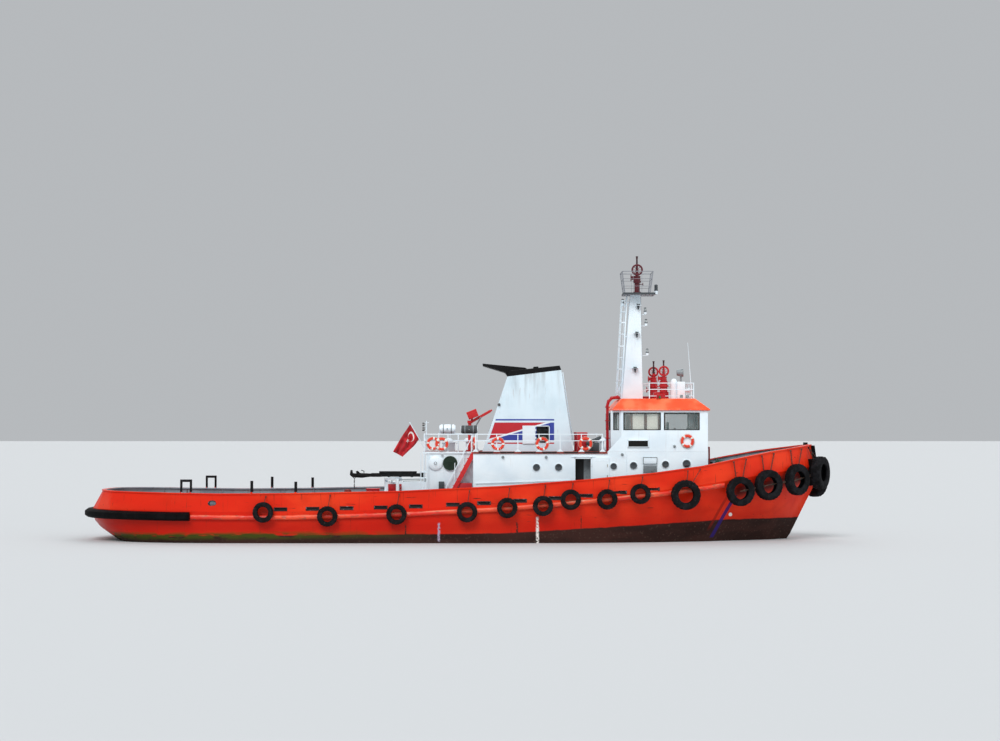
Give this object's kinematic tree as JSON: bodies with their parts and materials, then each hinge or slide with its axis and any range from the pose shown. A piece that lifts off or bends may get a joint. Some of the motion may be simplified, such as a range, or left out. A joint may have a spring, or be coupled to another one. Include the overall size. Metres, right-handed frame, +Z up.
{
  "type": "tugboat",
  "caption": "Single-screw harbour and sea tug with tyre fenders, wheelhouse, raked funnel, fire monitors on roof and mast, and a swinging tow hook.",
  "frame": {"origin": "on the centreline amidships, at the waterline", "axes": "+X to the bow, +Y to port, +Z up"},
  "size_m": [38.6384, 10.07, 18.6303],
  "materials": {
    "hull_paint": "weathered gloss orange, dark antifouling below the waterline",
    "bulwark_paint": "weathered gloss orange",
    "fender_rubber": "worn black",
    "house_paint": "white gloss, slightly stained",
    "deck_paint": "matt oxide red",
    "roof_paint": "orange gloss",
    "black_paint": "satin black",
    "red_paint": "gloss signal red",
    "green_paint": "satin green",
    "grey_paint": "satin grey",
    "bronze": "cast and polished",
    "helm_wood": "varnished",
    "flag_cloth": "woven polyester, loose"
  },
  "bodies": {
    "root": {"hull": "hull_paint", "bulwark_stern": "bulwark_paint", "bulwark_stbd": "bulwark_paint", "bulwark_port": "bulwark_paint", "bulwark_bow": "bulwark_paint", "fender_belt_stbd": "fender_rubber", "fender_belt_port": "fender_rubber", "stern_fender": "fender_rubber", "stem_fender": "fender_rubber", "bow_tyres_stbd": "fender_rubber", "bow_tyres_port": "fender_rubber", "deckhouse_side_stbd": "house_paint", "deckhouse_side_port": "house_paint", "deckhouse_front": "house_paint", "deckhouse_aft": "house_paint", "boat_deck": "deck_paint", "stairs_stbd": "red_paint", "stairs_port": "red_paint", "wheelhouse_side_stbd": "house_paint", "wheelhouse_side_port": "house_paint", "wheelhouse_front": "house_paint", "wheelhouse_aft": "house_paint", "wheelhouse_roof": "roof_paint", "helm_console": "helm_wood", "funnel_casing": "house_paint", "funnel_cap": "black_paint", "mast": "house_paint", "mast_platform": "house_paint", "mast_ladder": "house_paint", "fire_main": "red_paint", "roof_rail": "house_paint", "binnacle": "house_paint", "searchlight": "grey_paint", "nozzle": "black_paint", "tow_casing": "house_paint", "windlass": "green_paint", "bitts_stbd": "black_paint", "bitts_port": "black_paint", "rail_stbd": "house_paint", "rail_port": "house_paint", "rail_aft": "house_paint", "liferafts": "house_paint", "flagstaff": "house_paint", "flag": "flag_cloth"},
    "propeller": {"propeller": "bronze"},
    "rudder": {"rudder": "black_paint"},
    "thruster_propeller": {"thruster_propeller": "bronze"},
    "deckhouse_door_stbd": {"deckhouse_door_stbd": "house_paint"},
    "deckhouse_door_port": {"deckhouse_door_port": "house_paint"},
    "wheelhouse_door": {"wheelhouse_door": "house_paint"},
    "funnel_door": {"funnel_door": "house_paint"},
    "mast_monitor": {"mast_monitor": "red_paint"},
    "mast_monitor_barrel": {"mast_monitor_barrel": "red_paint"},
    "roof_monitor_stbd": {"roof_monitor_stbd": "red_paint"},
    "roof_monitor_stbd_barrel": {"roof_monitor_stbd_barrel": "red_paint"},
    "roof_monitor_port": {"roof_monitor_port": "red_paint"},
    "roof_monitor_port_barrel": {"roof_monitor_port_barrel": "red_paint"},
    "tow_arm": {"tow_arm": "black_paint"},
    "tow_hook": {"tow_hook": "black_paint"},
    "windlass_drum": {"windlass_drum": "green_paint"}
  },
  "joints": [
    {"name": "propeller_spin", "type": "hinge", "parent": "root", "child": "propeller", "pos_m": [-14.4, 0, -2.55], "axis": [1, 0, 0], "continuous": true},
    {"name": "rudder_turn", "type": "hinge", "parent": "root", "child": "rudder", "pos_m": [-16.5, 0, -2.4], "axis": [0, 0, 1], "range_deg": [-35, 35]},
    {"name": "thruster_spin", "type": "hinge", "parent": "root", "child": "thruster_propeller", "pos_m": [13, -0.22, -1.5], "axis": [0, 1, 0], "continuous": true},
    {"name": "deckhouse_door_stbd_swing", "type": "hinge", "parent": "root", "child": "deckhouse_door_stbd", "pos_m": [6.66, -3.031, 3.3], "axis": [0, 0, 1], "range_deg": [-180, 0]},
    {"name": "deckhouse_door_port_swing", "type": "hinge", "parent": "root", "child": "deckhouse_door_port", "pos_m": [6.66, 3.031, 3.3], "axis": [0, 0, 1], "range_deg": [-180, 0]},
    {"name": "wheelhouse_door_swing", "type": "hinge", "parent": "root", "child": "wheelhouse_door", "pos_m": [7.619, 0.43, 5.5], "axis": [0, 0, 1], "range_deg": [-170, 0]},
    {"name": "funnel_door_swing", "type": "hinge", "parent": "root", "child": "funnel_door", "pos_m": [3.85, -1.481, 5.4], "axis": [0, 0, 1], "range_deg": [0, 180]},
    {"name": "mast_monitor_turn", "type": "hinge", "parent": "root", "child": "mast_monitor", "pos_m": [9.17, 0, 13.4], "axis": [0, 0, 1], "range_deg": [-170, 170]},
    {"name": "mast_monitor_lift", "type": "hinge", "parent": "mast_monitor", "child": "mast_monitor_barrel", "pos_m": [9.17, 0, 13.8303], "axis": [0, 1, 0], "range_deg": [0, 75]},
    {"name": "roof_monitor_stbd_turn", "type": "hinge", "parent": "root", "child": "roof_monitor_stbd", "pos_m": [10.5, -0.65, 8.15], "axis": [0, 0, 1], "range_deg": [-170, 170]},
    {"name": "roof_monitor_stbd_lift", "type": "hinge", "parent": "roof_monitor_stbd", "child": "roof_monitor_stbd_barrel", "pos_m": [10.5, -0.65, 8.5373], "axis": [0, 1, 0], "range_deg": [0, 75]},
    {"name": "roof_monitor_port_turn", "type": "hinge", "parent": "root", "child": "roof_monitor_port", "pos_m": [10.08, 0.65, 8.15], "axis": [0, 0, 1], "range_deg": [-170, 170]},
    {"name": "roof_monitor_port_lift", "type": "hinge", "parent": "roof_monitor_port", "child": "roof_monitor_port_barrel", "pos_m": [10.08, 0.65, 8.5373], "axis": [0, 1, 0], "range_deg": [0, 75]},
    {"name": "tow_arm_swing", "type": "hinge", "parent": "root", "child": "tow_arm", "pos_m": [-2.05, 0, 3.3], "axis": [0, 0, 1], "range_deg": [-45, 45]},
    {"name": "tow_hook_tilt", "type": "hinge", "parent": "tow_arm", "child": "tow_hook", "pos_m": [-4.6, 0, 3.3], "axis": [0, 1, 0], "range_deg": [-30, 20]},
    {"name": "windlass_drum_spin", "type": "hinge", "parent": "root", "child": "windlass_drum", "pos_m": [13.5, 0, 3.78], "axis": [0, 1, 0], "continuous": true}
  ]
}
